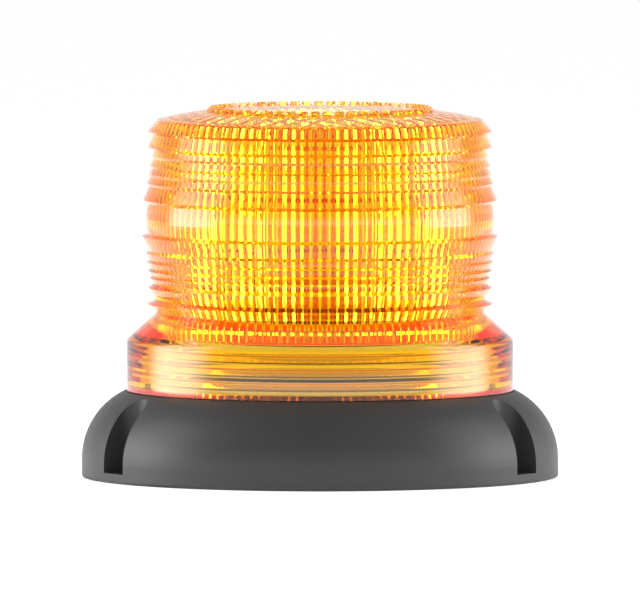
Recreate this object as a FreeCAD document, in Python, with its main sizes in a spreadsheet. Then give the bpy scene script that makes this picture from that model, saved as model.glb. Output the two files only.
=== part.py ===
import FreeCAD, Part
import math
import os
import re

import Sketcher

# Warning light with buzzer. The origin is the centre of the base's underside, +Z is up,
# and the front faces -Y. Lengths are in millimetres and angles in degrees.

os.makedirs("parts", exist_ok=True)

SIZES = {
    # Moulded base
    "base_radius": 64.0,
    "skirt_straight": 5.0,
    "shoulder_radius": 20.0,
    "shoulder_angle": 64.8,
    "deck_thickness": 2.5,
    "skirt_wall": 2.5,
    "rim_fillet": 0.8,
    "chamber_gap": 1.7,
    "chamber_wall": 2.4,
    "stiffener_count": 9,
    "stiffener_thickness": 1.6,
    "stiffener_low": 8.0,
    # Bolt pockets, open to the side
    "bolt_inset": 5.0,
    "bolt_count": 3,
    "bolt_hole": 5.5,
    "pocket_width": 10.2,
    "pocket_floor": 2.7,
    "pocket_wall": 2.0,
    # Screws inside the light, each set on a circle of its own
    "screw_count": 3,
    "screw_play": 0.2,
    "big_screw": 3.0,
    "big_head": 5.6,
    "big_head_height": 1.7,
    "small_screw": 2.5,
    "small_head": 4.4,
    "small_head_height": 1.4,
    # Bottom cover and cable inlet
    "head_clearance": 0.3,
    "cover_thickness": 2.0,
    "cover_overhang": 0.6,
    "gasket_thickness": 1.0,
    "boss_diameter": 7.0,
    "boss_gap": 1.8,
    "cover_screw_reach": 12.0,
    "cable_diameter": 6.0,
    "grommet_wall": 2.0,
    "grommet_reach": 2.0,
    "grommet_lip": 1.2,
    # Driver board
    "board_gap": 1.0,
    "board_thickness": 1.6,
    "post_height": 4.6,
    "post_inset": 5.0,
    "post_diameter": 6.0,
    "board_screw_reach": 5.5,
    "inductor_diameter": 10.0,
    "inductor_clearance": 0.4,
    "inductor_flange": 1.0,
    "inductor_place": 20.0,
    "capacitor_diameter": 6.3,
    "capacitor_clearance": 2.4,
    "capacitor_spacing": 10.0,
    "capacitor_place": 20.0,
    "transistor_width": 9.0,
    "transistor_height": 2.4,
    "transistor_place": 20.0,
    "chip_width": 5.0,
    "chip_depth": 8.6,
    "chip_height": 1.6,
    "chip_place": 18.0,
    "terminal_width": 10.0,
    "terminal_depth": 8.0,
    "terminal_clearance": 3.4,
    "terminal_place": 20.0,
    # Buzzer
    "buzzer_gap": 1.0,
    "buzzer_diameter": 24.0,
    "buzzer_wall": 1.2,
    "buzzer_mouth": 4.0,
    "buzzer_seal_thickness": 1.7,
    "diaphragm_gap": 1.0,
    "diaphragm_thickness": 0.3,
    "piezo_diameter": 14.0,
    "piezo_thickness": 0.25,
    "sound_hole": 2.0,
    "sound_hole_circle": 8.0,
    "sound_hole_count": 6,
    "mesh_thickness": 0.3,
    # White LED carrier
    "thread_clearance": 0.4,
    "carrier_wall": 2.4,
    "carrier_rise": 0.35,
    "carrier_chamfer": 1.0,
    "carrier_boss": 6.4,
    "carrier_boss_gap": 1.0,
    "carrier_screw_reach": 8.0,
    "wire_hole": 12.0,
    "led_board_gap": 3.3,
    "led_board_thickness": 1.6,
    "base_led_count": 12,
    # LED tower
    "tower_flats": 27.0,
    "tower_wall": 2.5,
    "tower_sides": 6,
    "tower_foot_margin": 0.6,
    "tower_screw_gap": 0.3,
    "tower_screw_reach": 6.0,
    "tower_board_inset": 1.3,
    "tower_board_end": 6.5,
    "tower_board_thickness": 1.2,
    "led_size": 5.0,
    "led_height": 1.6,
    "led_pitch": 9.0,
    "top_board_inset": 0.5,
    "top_led_inset": 6.0,
    "top_led_count": 4,
    "wire_diameter": 1.6,
    "wire_spacing": 4.0,
    # Amber lens: collar and cone
    "seal_proud": 0.3,
    "deck_ledge": 0.6,
    "collar_height": 13.6,
    "collar_wall": 4.5,
    "cone_height": 7.2,
    "cone_inset": 8.0,
    "cone_wall": 4.0,
    "thread_pitch": 3.5,
    "thread_turns": 3,
    "thread_run_out": 2.65,
    "thread_depth": 1.4,
    "thread_root": 1.7,
    "thread_crest": 0.9,
    "seal_width": 2.0,
    "seal_height": 1.5,
    "seal_clearance": 0.2,
    # Amber lens: head
    "neck_wall": 2.9,
    "tube_clearance": 0.6,
    "flute_count": 114,
    "flute_depth": 0.7,
    "bullseye_height": 8.0,
    "bullseye_bulge": 0.5,
    "dome_rise": 3.5,
    "roof_thickness": 3.4,
    "crown_inset": 14.4,
    "crown_width": 2.2,
    "crown_rise": 1.2,
    "crown_blocks": 57,
    "crown_notch": 0.5,
}

# Prism rings below the bull's eye, from the neck up. Each widens to its tip and steps back in:
# name, rise to the tip, wall at the tip, rise of the step, wall at its end.
RINGS_BELOW = (
    ("low_one", 2.4, 5.5, 1.1, 3.2),
    ("low_two", 3.2, 5.2, 1.0, 3.8),
    ("low_three", 1.6, 4.7, 0.4, 4.1),
    ("low_four", 1.6, 5.2, 0.5, 4.5),
    ("low_five", 1.8, 5.5, 0.4, 4.8),
    ("low_six", 2.0, 5.7, 0.7, 5.0),
    ("low_seven", 3.8, 6.8, 0.8, 5.2),
)

# Prism rings above it, which step out to the tip and taper in, up to the rim.
RINGS_ABOVE = (
    ("high_one", 1.0, 6.5, 3.7, 4.9),
    ("high_two", 0.8, 5.5, 1.6, 4.7),
    ("high_three", 0.9, 4.9, 1.5, 4.1),
    ("high_four", 0.6, 4.7, 2.0, 3.7),
    ("high_five", 0.8, 4.1, 1.4, 3.6),
    ("high_six", 0.9, 5.2, 3.4, 3.7),
    ("high_seven", 0.8, 5.2, 3.1, 2.6),
)

for name, tip_rise, tip_wall, end_rise, end_wall in RINGS_BELOW + RINGS_ABOVE:
    SIZES[f"{name}_tip_rise"] = tip_rise
    SIZES[f"{name}_tip_wall"] = tip_wall
    SIZES[f"{name}_end_rise"] = end_rise
    SIZES[f"{name}_end_wall"] = end_wall

doc = FreeCAD.newDocument("WarningLight")
sheet = doc.addObject("Spreadsheet::Sheet", "Sizes")
for row, (name, size) in enumerate(SIZES.items(), start=1):
    sheet.set(f"A{row}", name)
    sheet.set(f"B{row}", str(size))
    sheet.setAlias(f"B{row}", name)
doc.recompute()

# Levels and radii that several pieces share, as formulas of the sheet's values.
# The base: its deck, the pockets, the chamber and what stands in it.
DECK = "(skirt_straight + shoulder_radius * sin(shoulder_angle * 1deg))"
DECK_UNDER = f"({DECK} - deck_thickness)"
DECK_RADIUS = "(base_radius - shoulder_radius * (1 - cos(shoulder_angle * 1deg)))"
INNER_ARC = "(shoulder_radius - skirt_wall)"
UNDERDECK_RADIUS = (f"(base_radius - shoulder_radius"
                    f" + sqrt({INNER_ARC}^2 - ({DECK_UNDER} - skirt_straight)^2))")
POCKET_MIDDLE = "(base_radius - bolt_inset)"
CHAMBER_RADIUS = f"({POCKET_MIDDLE} - pocket_width / 2 - pocket_wall - chamber_gap)"
COVER_LOW = "(big_head_height + head_clearance)"
COVER_TOP = f"({COVER_LOW} + cover_thickness)"
COVER_RADIUS = f"({CHAMBER_RADIUS} + cover_overhang)"
CHAMBER_LOW = f"({COVER_TOP} + gasket_thickness)"
GROMMET_NECK = "(cable_diameter / 2 + grommet_wall)"
GROMMET_FLANGE = f"({GROMMET_NECK} + grommet_reach)"
BOSS_PLACE = f"({CHAMBER_RADIUS} - chamber_wall - boss_gap - boss_diameter / 2)"
BOARD_RADIUS = f"({BOSS_PLACE} - boss_diameter / 2 - board_gap)"
POST_PLACE = f"({BOARD_RADIUS} - post_inset)"
BOARD_TOP = f"({DECK_UNDER} - post_height)"
BOARD_LOW = f"({BOARD_TOP} - board_thickness)"
BUZZER_PLACE = f"({GROMMET_FLANGE} + buzzer_gap + buzzer_diameter / 2)"
MESH_TOP = f"({COVER_TOP} + mesh_thickness)"
BUZZER_LOW = f"({MESH_TOP} + buzzer_seal_thickness)"

# The lens: its collar on the deck, the cone, and the rings over the neck.
COLLAR_LOW = f"({DECK} + seal_proud)"
COLLAR_HIGH = f"({COLLAR_LOW} + collar_height)"
COLLAR_RADIUS = f"({DECK_RADIUS} - deck_ledge)"
COLLAR_BORE = f"({COLLAR_RADIUS} - collar_wall)"
SEAL_MIDDLE = f"({COLLAR_RADIUS} - collar_wall / 2)"
NECK = f"({COLLAR_HIGH} + cone_height)"
NECK_RADIUS = f"({COLLAR_RADIUS} - cone_inset)"
CONE_SLOPE = "(cone_height / cone_inset)"
CONE_INSIDE = f"({COLLAR_HIGH} + collar_wall * {CONE_SLOPE} - cone_wall)"
LENS_BORE = f"({NECK_RADIUS} - neck_wall)"
PLAIN_BORE = f"({LENS_BORE} - 1.5 * flute_depth)"
BELOW_RISE = " + ".join(f"{ring[0]}_tip_rise + {ring[0]}_end_rise" for ring in RINGS_BELOW)
ABOVE_RISE = " + ".join(f"{ring[0]}_tip_rise + {ring[0]}_end_rise" for ring in RINGS_ABOVE)
BULLSEYE_LOW = f"({NECK} + {BELOW_RISE})"
BULLSEYE_MIDDLE = f"({BULLSEYE_LOW} + bullseye_height / 2)"
BULLSEYE_ARC = "((bullseye_height / 2)^2 + bullseye_bulge^2) / (2 * bullseye_bulge)"
RIM = f"({BULLSEYE_LOW} + bullseye_height + {ABOVE_RISE})"
RIM_RADIUS = f"({LENS_BORE} + {RINGS_ABOVE[-1][0]}_end_wall)"
DOME_ARC = f"(({RIM_RADIUS}^2 + dome_rise^2) / (2 * dome_rise))"
INNER_DOME_ARC = f"(({PLAIN_BORE}^2 + dome_rise^2) / (2 * dome_rise))"
CROWN_RADIUS = f"({RIM_RADIUS} - crown_inset)"

# The carrier inside the collar, and the LED tower on it.
CARRIER_RADIUS = f"({COLLAR_BORE} - thread_depth - thread_clearance)"
CARRIER_TOP = f"({CONE_INSIDE} + carrier_rise)"
CARRIER_SCREW_PLACE = f"({CARRIER_RADIUS} - carrier_wall - carrier_boss_gap - carrier_boss / 2)"
TUBE_LOW = f"({CARRIER_TOP} + tube_clearance)"
LED_BOARD_TOP = f"({CARRIER_TOP} + led_board_thickness)"
LED_BOARD_RADIUS = f"({LENS_BORE} - flute_depth - led_board_gap)"
TOWER_FACE = "(tower_flats / 2)"
TOWER_SCREW_PLACE = f"({TOWER_FACE} + tower_screw_gap + small_head / 2)"
TOWER_FOOT = f"({TOWER_SCREW_PLACE} + small_head / 2 + tower_foot_margin)"
TOWER_BOARD_HEIGHT = "(2 * led_pitch + led_size + 2 * tower_board_end)"
TOWER_TOP = f"({BULLSEYE_MIDDLE} + {TOWER_BOARD_HEIGHT} / 2)"
TOP_BOARD_RADIUS = f"({TOWER_FACE} - top_board_inset)"
TOP_BOARD_TOP = f"({TOWER_TOP} + tower_board_thickness)"


def bound(formula):
    """The formula with each named size read from the sheet."""
    return re.sub(r"[a-z_]{3,}", lambda word: f"Sizes.{word[0]}" if word[0] in SIZES else word[0], formula)


def value(formula):
    """The number that a formula gives now."""
    result = sheet.evalExpression(bound(formula))
    return float(getattr(result, "Value", result))


def body(label):
    item = doc.addObject("PartDesign::Body", label)
    item.Label = label
    return item


def sketch(owner, role, level="0"):
    """An empty sketch on one of the body's own planes, moved out along the plane's normal."""
    plane = next(item for item in owner.Origin.OriginFeatures if item.Role == role)
    drawing = owner.newObject("Sketcher::SketchObject", f"{owner.Label}_sketch")
    drawing.AttachmentSupport = (plane, [""])
    drawing.MapMode = "FlatFace"
    if level != "0":
        drawing.setExpression("AttachmentOffset.Base.z", bound(level))
    return drawing


def fix_point(drawing, edge, end, across, up):
    """Ties a point of the sketch to two formulas."""
    for kind, formula, axis in (("DistanceX", across, -2), ("DistanceY", up, -1)):
        if formula == "0":
            drawing.addConstraint(Sketcher.Constraint("PointOnObject", edge, end, axis))
        else:
            number = drawing.addConstraint(Sketcher.Constraint(kind, edge, end, value(formula)))
            drawing.setExpression(f"Constraints[{number}]", bound(formula))


def outline(drawing, corners):
    """A closed outline. A corner is (across, up); with two more entries, the radius and the turn
    (+1 or -1) of an arc, the edge that ends there is an arc that bends left (+1) or right (-1)."""
    places = [FreeCAD.Vector(value(corner[0]), value(corner[1]), 0) for corner in corners]
    first = drawing.GeometryCount
    count = len(corners)
    for index, corner in enumerate(corners):
        start, end = places[index - 1], places[index]
        if len(corner) == 2:
            drawing.addGeometry(Part.LineSegment(start, end), False)
            continue
        chord = end - start
        radius = value(corner[2])
        away = math.sqrt(radius ** 2 - (chord.Length / 2) ** 2)
        side = FreeCAD.Vector(-chord.y, chord.x, 0).normalize() * corner[3]
        middle = (start + end) / 2 - side * (radius - away)
        drawing.addGeometry(Part.Arc(start, middle, end), False)
    for index, corner in enumerate(corners):
        edge = first + index
        after = first + (index + 1) % count
        # An arc runs anticlockwise, so one that bends right is stored from its end to its start.
        end = 1 if len(corner) == 4 and corner[3] < 0 else 2
        following = corners[(index + 1) % count]
        start = 2 if len(following) == 4 and following[3] < 0 else 1
        drawing.addConstraint(Sketcher.Constraint("Coincident", edge, end, after, start))
        fix_point(drawing, edge, end, corner[0], corner[1])
    for index, corner in enumerate(corners):
        if len(corner) == 4:
            radius = Sketcher.Constraint("Radius", first + index, value(corner[2]))
            number = drawing.addConstraint(radius)
            drawing.setExpression(f"Constraints[{number}]", bound(corner[2]))


def open_slot(drawing, half, middle, far):
    """A slot along +Y with a round inner end, drawn out to far so that it is open there."""
    wide, centre, top = value(half), value(middle), value(far)
    corners = [FreeCAD.Vector(x, y, 0) for x, y in
               ((-wide, centre), (0, centre - wide), (wide, centre), (wide, top), (-wide, top))]
    drawing.addGeometry(Part.Arc(*corners[:3]), False)
    drawing.addGeometry(Part.LineSegment(corners[2], corners[3]), False)
    drawing.addGeometry(Part.LineSegment(corners[3], corners[4]), False)
    drawing.addGeometry(Part.LineSegment(corners[4], corners[0]), False)
    for kind, *places in (("Tangent", 0, 2, 1, 1), ("Tangent", 3, 2, 0, 1), ("Coincident", 1, 2, 2, 1),
                          ("Coincident", 2, 2, 3, 1), ("Vertical", 1), ("Vertical", 3),
                          ("Horizontal", 2)):
        drawing.addConstraint(Sketcher.Constraint(kind, *places))
    fix_point(drawing, 0, 3, "0", middle)
    for constraint, formula in ((Sketcher.Constraint("Radius", 0, wide), half),
                                (Sketcher.Constraint("DistanceY", 1, 2, top), far)):
        number = drawing.addConstraint(constraint)
        drawing.setExpression(f"Constraints[{number}]", bound(formula))


def rectangle(drawing, left, right, low, high):
    outline(drawing, [(left, low), (right, low), (right, high), (left, high)])


def circle(drawing, across, up, diameter):
    centre = FreeCAD.Vector(value(across), value(up), 0)
    edge = drawing.addGeometry(Part.Circle(centre, FreeCAD.Vector(0, 0, 1), value(diameter) / 2), False)
    fix_point(drawing, edge, 3, across, up)
    number = drawing.addConstraint(Sketcher.Constraint("Diameter", edge, value(diameter)))
    drawing.setExpression(f"Constraints[{number}]", bound(diameter))


def measure(item):
    shape = item.Shape
    return 0.0 if shape.isNull() else shape.Volume


def extrude(owner, drawing, kind, length, reverse=False):
    """Pads or pockets a sketch, and makes sure that the solid changed."""
    before = measure(owner)
    feature = owner.newObject(f"PartDesign::{kind}", f"{owner.Label}_{kind.lower()}")
    feature.Profile = drawing
    feature.setExpression("Length", bound(length))
    feature.Reversed = reverse
    doc.recompute()
    check_change(owner, before, kind == "Pad")
    return feature


def turn(owner, drawing, kind="Revolution", axis="V_Axis"):
    """Revolves or grooves a sketch through a full turn."""
    before = measure(owner)
    feature = owner.newObject(f"PartDesign::{kind}", f"{owner.Label}_{kind.lower()}")
    feature.Profile = drawing
    feature.ReferenceAxis = (drawing, [axis])
    feature.Angle = 360
    doc.recompute()
    check_change(owner, before, kind == "Revolution")
    return feature


def repeat(owner, features, count):
    """Repeats features round the vertical axis."""
    pattern = owner.newObject("PartDesign::PolarPattern", f"{owner.Label}_pattern")
    pattern.Originals = features
    axis = next(item for item in owner.Origin.OriginFeatures if item.Role == "Z_Axis")
    pattern.Axis = (axis, [""])
    pattern.Angle = 360
    pattern.setExpression("Occurrences", bound(count))
    owner.Tip = pattern
    doc.recompute()
    return pattern


def check_change(owner, before, grows):
    change = measure(owner) - before
    if (change <= 0) if grows else (change >= 0):
        raise RuntimeError(f"the last feature of {owner.Label} changed nothing")


def disc(label, radius, low, high):
    """A flat round solid on the main axis."""
    item = body(label)
    drawing = sketch(item, "XY_Plane", low)
    circle(drawing, "0", "0", f"2 * ({radius})")
    extrude(item, drawing, "Pad", f"({high}) - ({low})")
    return item


def ring(label, inner, outer, low, high):
    """A flat ring on the main axis."""
    item = body(label)
    drawing = sketch(item, "XY_Plane", low)
    circle(drawing, "0", "0", f"2 * ({outer})")
    circle(drawing, "0", "0", f"2 * ({inner})")
    extrude(item, drawing, "Pad", f"({high}) - ({low})")
    return item


def hole(owner, level, across, up, diameter, depth, upward=False):
    """A round hole down, or up, from a level."""
    drawing = sketch(owner, "XY_Plane", level)
    circle(drawing, across, up, diameter)
    return extrude(owner, drawing, "Pocket", depth, reverse=upward)


def post(owner, level, across, up, diameter, length):
    """A round boss up from a level."""
    drawing = sketch(owner, "XY_Plane", level)
    circle(drawing, across, up, diameter)
    return extrude(owner, drawing, "Pad", length)


def screws(label, level, across, up, shank, head, head_height, reach, head_down=True):
    """Screws spread round the main axis. The level is where their heads seat."""
    item = body(label)
    down, rise = (True, False) if head_down else (False, True)
    heads = sketch(item, "XY_Plane", level)
    circle(heads, across, up, head)
    shanks = sketch(item, "XY_Plane", level)
    circle(shanks, across, up, shank)
    shapes = [extrude(item, heads, "Pad", head_height, reverse=down),
              extrude(item, shanks, "Pad", reach, reverse=rise)]
    repeat(item, shapes, "screw_count")


def make_base_housing():
    """The black moulded housing: an arched shell with three bolt pockets, a sealed chamber wall,
    stiffeners, and the bosses for the cover, the driver board and the LED carrier."""
    item = body("base_housing")
    shell = sketch(item, "XZ_Plane")
    outline(shell, [
        ("0", DECK_UNDER),
        (UNDERDECK_RADIUS, DECK_UNDER),
        ("base_radius - skirt_wall", "skirt_straight", INNER_ARC, -1),
        ("base_radius - skirt_wall", "0"),
        ("base_radius - rim_fillet", "0"),
        ("base_radius", "rim_fillet", "rim_fillet", 1),
        ("base_radius", "skirt_straight"),
        (DECK_RADIUS, DECK, "shoulder_radius", 1),
        ("0", DECK),
    ])
    turn(item, shell)
    into_deck = "deck_thickness / 2"

    chamber = sketch(item, "XY_Plane", CHAMBER_LOW)
    circle(chamber, "0", "0", f"2 * {CHAMBER_RADIUS}")
    circle(chamber, "0", "0", f"2 * ({CHAMBER_RADIUS} - chamber_wall)")
    extrude(item, chamber, "Pad", f"{DECK_UNDER} - {CHAMBER_LOW} + {into_deck}")

    stiffener = sketch(item, "XY_Plane", "stiffener_low")
    rectangle(stiffener, "-stiffener_thickness / 2", "stiffener_thickness / 2",
              f"{CHAMBER_RADIUS} - chamber_wall / 2", "base_radius")
    web = extrude(item, stiffener, "Pad", f"{DECK_UNDER} - stiffener_low + {into_deck}")
    repeat(item, [web], "stiffener_count")

    block = sketch(item, "XY_Plane")
    open_slot(block, "pocket_width / 2 + pocket_wall", POCKET_MIDDLE, "base_radius + pocket_wall")
    repeat(item, [extrude(item, block, "Pad", f"{DECK_UNDER} + {into_deck}")], "bolt_count")
    raised = [
        post(item, CHAMBER_LOW, "0", f"-{BOSS_PLACE}", "boss_diameter",
             f"{DECK_UNDER} - {CHAMBER_LOW} + {into_deck}"),
        post(item, BOARD_TOP, "0", f"-{POST_PLACE}", "post_diameter",
             f"{DECK_UNDER} - {BOARD_TOP} + {into_deck}"),
    ]
    repeat(item, raised, "screw_count")

    # Whatever stands out past the shell is trimmed back to its outer face.
    outside = sketch(item, "XZ_Plane")
    outline(outside, [
        ("base_radius - rim_fillet", f"-{DECK}"),
        ("2 * base_radius", f"-{DECK}"),
        ("2 * base_radius", f"2 * {DECK}"),
        (DECK_RADIUS, f"2 * {DECK}"),
        (DECK_RADIUS, DECK),
        ("base_radius", "skirt_straight", "shoulder_radius", -1),
        ("base_radius", "rim_fillet"),
        ("base_radius - rim_fillet", "0", "rim_fillet", -1),
    ])
    turn(item, outside, "Groove")

    slot = sketch(item, "XY_Plane", "pocket_floor")
    open_slot(slot, "pocket_width / 2", POCKET_MIDDLE, "base_radius + 2 * pocket_wall")
    pockets = [
        extrude(item, slot, "Pocket", DECK, reverse=True),
        hole(item, "pocket_floor", "0", POCKET_MIDDLE, "bolt_hole", "pocket_floor"),
    ]
    repeat(item, pockets, "bolt_count")
    screw_holes = [
        hole(item, DECK, "0", CARRIER_SCREW_PLACE, "big_screw + screw_play", "deck_thickness"),
        hole(item, CHAMBER_LOW, "0", f"-{BOSS_PLACE}", "big_screw + screw_play",
             f"{COVER_LOW} + cover_screw_reach + screw_play - {CHAMBER_LOW}", upward=True),
        hole(item, BOARD_TOP, "0", f"-{POST_PLACE}", "small_screw + screw_play",
             "board_screw_reach - board_thickness + screw_play", upward=True),
    ]
    repeat(item, screw_holes, "screw_count")
    hole(item, DECK, "0", "0", "wire_hole", "deck_thickness")


def make_cover():
    """The bottom cover with its gasket, screws, cable grommet and sound holes."""
    cover = disc("bottom_cover", COVER_RADIUS, COVER_LOW, COVER_TOP)
    screw_hole = hole(cover, COVER_TOP, "0", f"-{BOSS_PLACE}", "big_screw + screw_play", "cover_thickness")
    repeat(cover, [screw_hole], "screw_count")
    openings = sketch(cover, "XY_Plane", COVER_TOP)
    circle(openings, "0", "0", f"2 * {GROMMET_NECK}")
    for index in range(int(value("sound_hole_count"))):
        angle = f"({index} * 360deg / sound_hole_count)"
        circle(openings, f"sound_hole_circle / 2 * sin({angle})",
               f"{BUZZER_PLACE} + sound_hole_circle / 2 * cos({angle})", "sound_hole")
    extrude(cover, openings, "Pocket", "cover_thickness")

    ring("cover_gasket", f"{CHAMBER_RADIUS} - chamber_wall", CHAMBER_RADIUS, COVER_TOP, CHAMBER_LOW)
    screws("cover_screws", COVER_LOW, "0", f"-{BOSS_PLACE}", "big_screw", "big_head",
           "big_head_height", "cover_screw_reach")

    grommet = body("cable_grommet")
    section = sketch(grommet, "XZ_Plane")
    outline(section, [
        ("cable_diameter / 2", f"{COVER_LOW} - grommet_lip"),
        (GROMMET_FLANGE, f"{COVER_LOW} - grommet_lip"),
        (GROMMET_FLANGE, COVER_LOW),
        (GROMMET_NECK, COVER_LOW),
        (GROMMET_NECK, COVER_TOP),
        (f"{GROMMET_FLANGE} - grommet_lip / 2", COVER_TOP),
        (f"{GROMMET_FLANGE} - grommet_lip", f"{COVER_TOP} + grommet_lip"),
        ("cable_diameter / 2", f"{COVER_TOP} + grommet_lip"),
    ])
    turn(grommet, section)


def make_driver_board():
    """The driver board under the deck, with its screws and the parts soldered to it."""
    board = disc("driver_board", BOARD_RADIUS, BOARD_LOW, BOARD_TOP)
    screw_hole = hole(board, BOARD_TOP, "0", f"-{POST_PLACE}", "small_screw + screw_play",
                      "board_thickness")
    repeat(board, [screw_hole], "screw_count")
    screws("board_screws", BOARD_LOW, "0", f"-{POST_PLACE}", "small_screw", "small_head",
           "small_head_height", "board_screw_reach")

    drum = body("inductor")
    waist = "inductor_diameter / 2 - inductor_flange"
    top = f"{DECK_UNDER} - inductor_clearance"
    profile = sketch(drum, "XZ_Plane")
    outline(profile, [
        ("0", BOARD_TOP),
        ("inductor_diameter / 2", BOARD_TOP),
        ("inductor_diameter / 2", f"{BOARD_TOP} + inductor_flange"),
        (waist, f"{BOARD_TOP} + inductor_flange"),
        (waist, f"{top} - inductor_flange"),
        ("inductor_diameter / 2", f"{top} - inductor_flange"),
        ("inductor_diameter / 2", top),
        ("0", top),
    ])
    turn(drum, profile)
    drum.setExpression("Placement.Base.x", bound("inductor_place"))

    cans = body("capacitors")
    for side in (-1, 1):
        drawing = sketch(cans, "XY_Plane", BOARD_LOW)
        circle(drawing, f"{side} * capacitor_spacing / 2", "-capacitor_place", "capacitor_diameter")
        extrude(cans, drawing, "Pad", f"{BOARD_LOW} - {COVER_TOP} - capacitor_clearance", reverse=True)

    for label, place, width, depth, low, high in (
            ("power_transistor", "-transistor_place", "transistor_width", "transistor_width",
             BOARD_TOP, f"{BOARD_TOP} + transistor_height"),
            ("control_chip", "chip_place", "chip_width", "chip_depth",
             f"({BOARD_LOW} - chip_height)", BOARD_LOW),
            ("terminal_block", "-terminal_place", "terminal_width", "terminal_depth",
             f"({COVER_TOP} + terminal_clearance)", BOARD_LOW)):
        item = body(label)
        drawing = sketch(item, "XY_Plane", low)
        rectangle(drawing, f"{place} - {width} / 2", f"{place} + {width} / 2", f"-{depth} / 2",
                  f"{depth} / 2")
        extrude(item, drawing, "Pad", f"{high} - {low}")


def make_buzzer():
    """The piezo buzzer under the driver board: a case, a brass diaphragm with its ceramic disc, and
    the ring and mesh that seal it to the sound holes."""
    radius = "buzzer_diameter / 2"
    seat = f"({BUZZER_LOW} + {BOARD_LOW}) / 2"
    diaphragm_radius = f"({radius} - buzzer_wall - diaphragm_gap)"
    diaphragm_top = f"({seat} + diaphragm_thickness)"
    case = body("buzzer_case")
    section = sketch(case, "XZ_Plane")
    outline(section, [
        ("buzzer_mouth / 2", BUZZER_LOW),
        (radius, BUZZER_LOW),
        (radius, BOARD_LOW),
        ("0", BOARD_LOW),
        ("0", f"{BOARD_LOW} - buzzer_wall"),
        (f"{radius} - buzzer_wall", f"{BOARD_LOW} - buzzer_wall"),
        (f"{radius} - buzzer_wall", seat),
        (f"{diaphragm_radius} - buzzer_wall", seat),
        (f"{diaphragm_radius} - buzzer_wall", f"{BUZZER_LOW} + buzzer_wall"),
        ("buzzer_mouth / 2", f"{BUZZER_LOW} + buzzer_wall"),
    ])
    turn(case, section)
    diaphragm = disc("buzzer_diaphragm", diaphragm_radius, seat, diaphragm_top)
    piezo = disc("piezo_disc", "piezo_diameter / 2", diaphragm_top, f"{diaphragm_top} + piezo_thickness")
    mesh = disc("sound_mesh", f"{radius} - buzzer_wall", COVER_TOP, MESH_TOP)
    seal = ring("buzzer_seal", f"{radius} - 2 * buzzer_wall", radius, MESH_TOP, BUZZER_LOW)
    for item in (case, diaphragm, piezo, mesh, seal):
        item.setExpression("Placement.Base.y", bound(BUZZER_PLACE))


def make_carrier():
    """The white spigot that the lens screws on to, and the LED board on top of it."""
    carrier = body("led_carrier")
    section = sketch(carrier, "XZ_Plane")
    outline(section, [
        (f"{CARRIER_RADIUS} - carrier_wall", DECK),
        (CARRIER_RADIUS, DECK),
        (CARRIER_RADIUS, f"{CARRIER_TOP} - carrier_chamfer"),
        (f"{CARRIER_RADIUS} - carrier_chamfer", CARRIER_TOP),
        ("wire_hole / 2", CARRIER_TOP),
        ("wire_hole / 2", f"{CARRIER_TOP} - carrier_wall"),
        (f"{CARRIER_RADIUS} - carrier_wall", f"{CARRIER_TOP} - carrier_wall"),
    ])
    turn(carrier, section)
    boss = post(carrier, DECK, "0", CARRIER_SCREW_PLACE, "carrier_boss",
                f"{CARRIER_TOP} - {DECK} - carrier_wall / 2")
    repeat(carrier, [boss], "screw_count")
    pilot = hole(carrier, DECK, "0", CARRIER_SCREW_PLACE, "big_screw + screw_play",
                 "carrier_screw_reach - deck_thickness + screw_play", upward=True)
    repeat(carrier, [pilot], "screw_count")
    screws("carrier_screws", DECK_UNDER, "0", CARRIER_SCREW_PLACE, "big_screw", "big_head",
           "big_head_height", "carrier_screw_reach")
    board = ring("led_base_board", "wire_hole / 2", LED_BOARD_RADIUS, CARRIER_TOP, LED_BOARD_TOP)
    for owner, level, depth in ((board, LED_BOARD_TOP, "led_board_thickness"),
                                (carrier, CARRIER_TOP, "carrier_wall")):
        screw_hole = hole(owner, level, TOWER_SCREW_PLACE, "0", "small_screw + screw_play", depth)
        repeat(owner, [screw_hole], "screw_count")
    leds = body("base_leds")
    drawing = sketch(leds, "XY_Plane", LED_BOARD_TOP)
    middle = f"({TOWER_FOOT} + {LED_BOARD_RADIUS}) / 2"
    rectangle(drawing, "-led_size / 2", "led_size / 2", f"{middle} - led_size / 2",
              f"{middle} + led_size / 2")
    emitter = extrude(leds, drawing, "Pad", "led_height")
    repeat(leds, [emitter], "base_led_count")


def polygon(drawing, flats):
    """A regular outline round the origin, with one flat square to +X."""
    step = 360 / int(value("tower_sides"))
    corner = f"({flats} / 2 / cos({step / 2}deg))"
    outline(drawing, [(f"{corner} * cos({(index + 0.5) * step}deg)",
                       f"{corner} * sin({(index + 0.5) * step}deg)")
                      for index in range(int(value("tower_sides")))])


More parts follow.
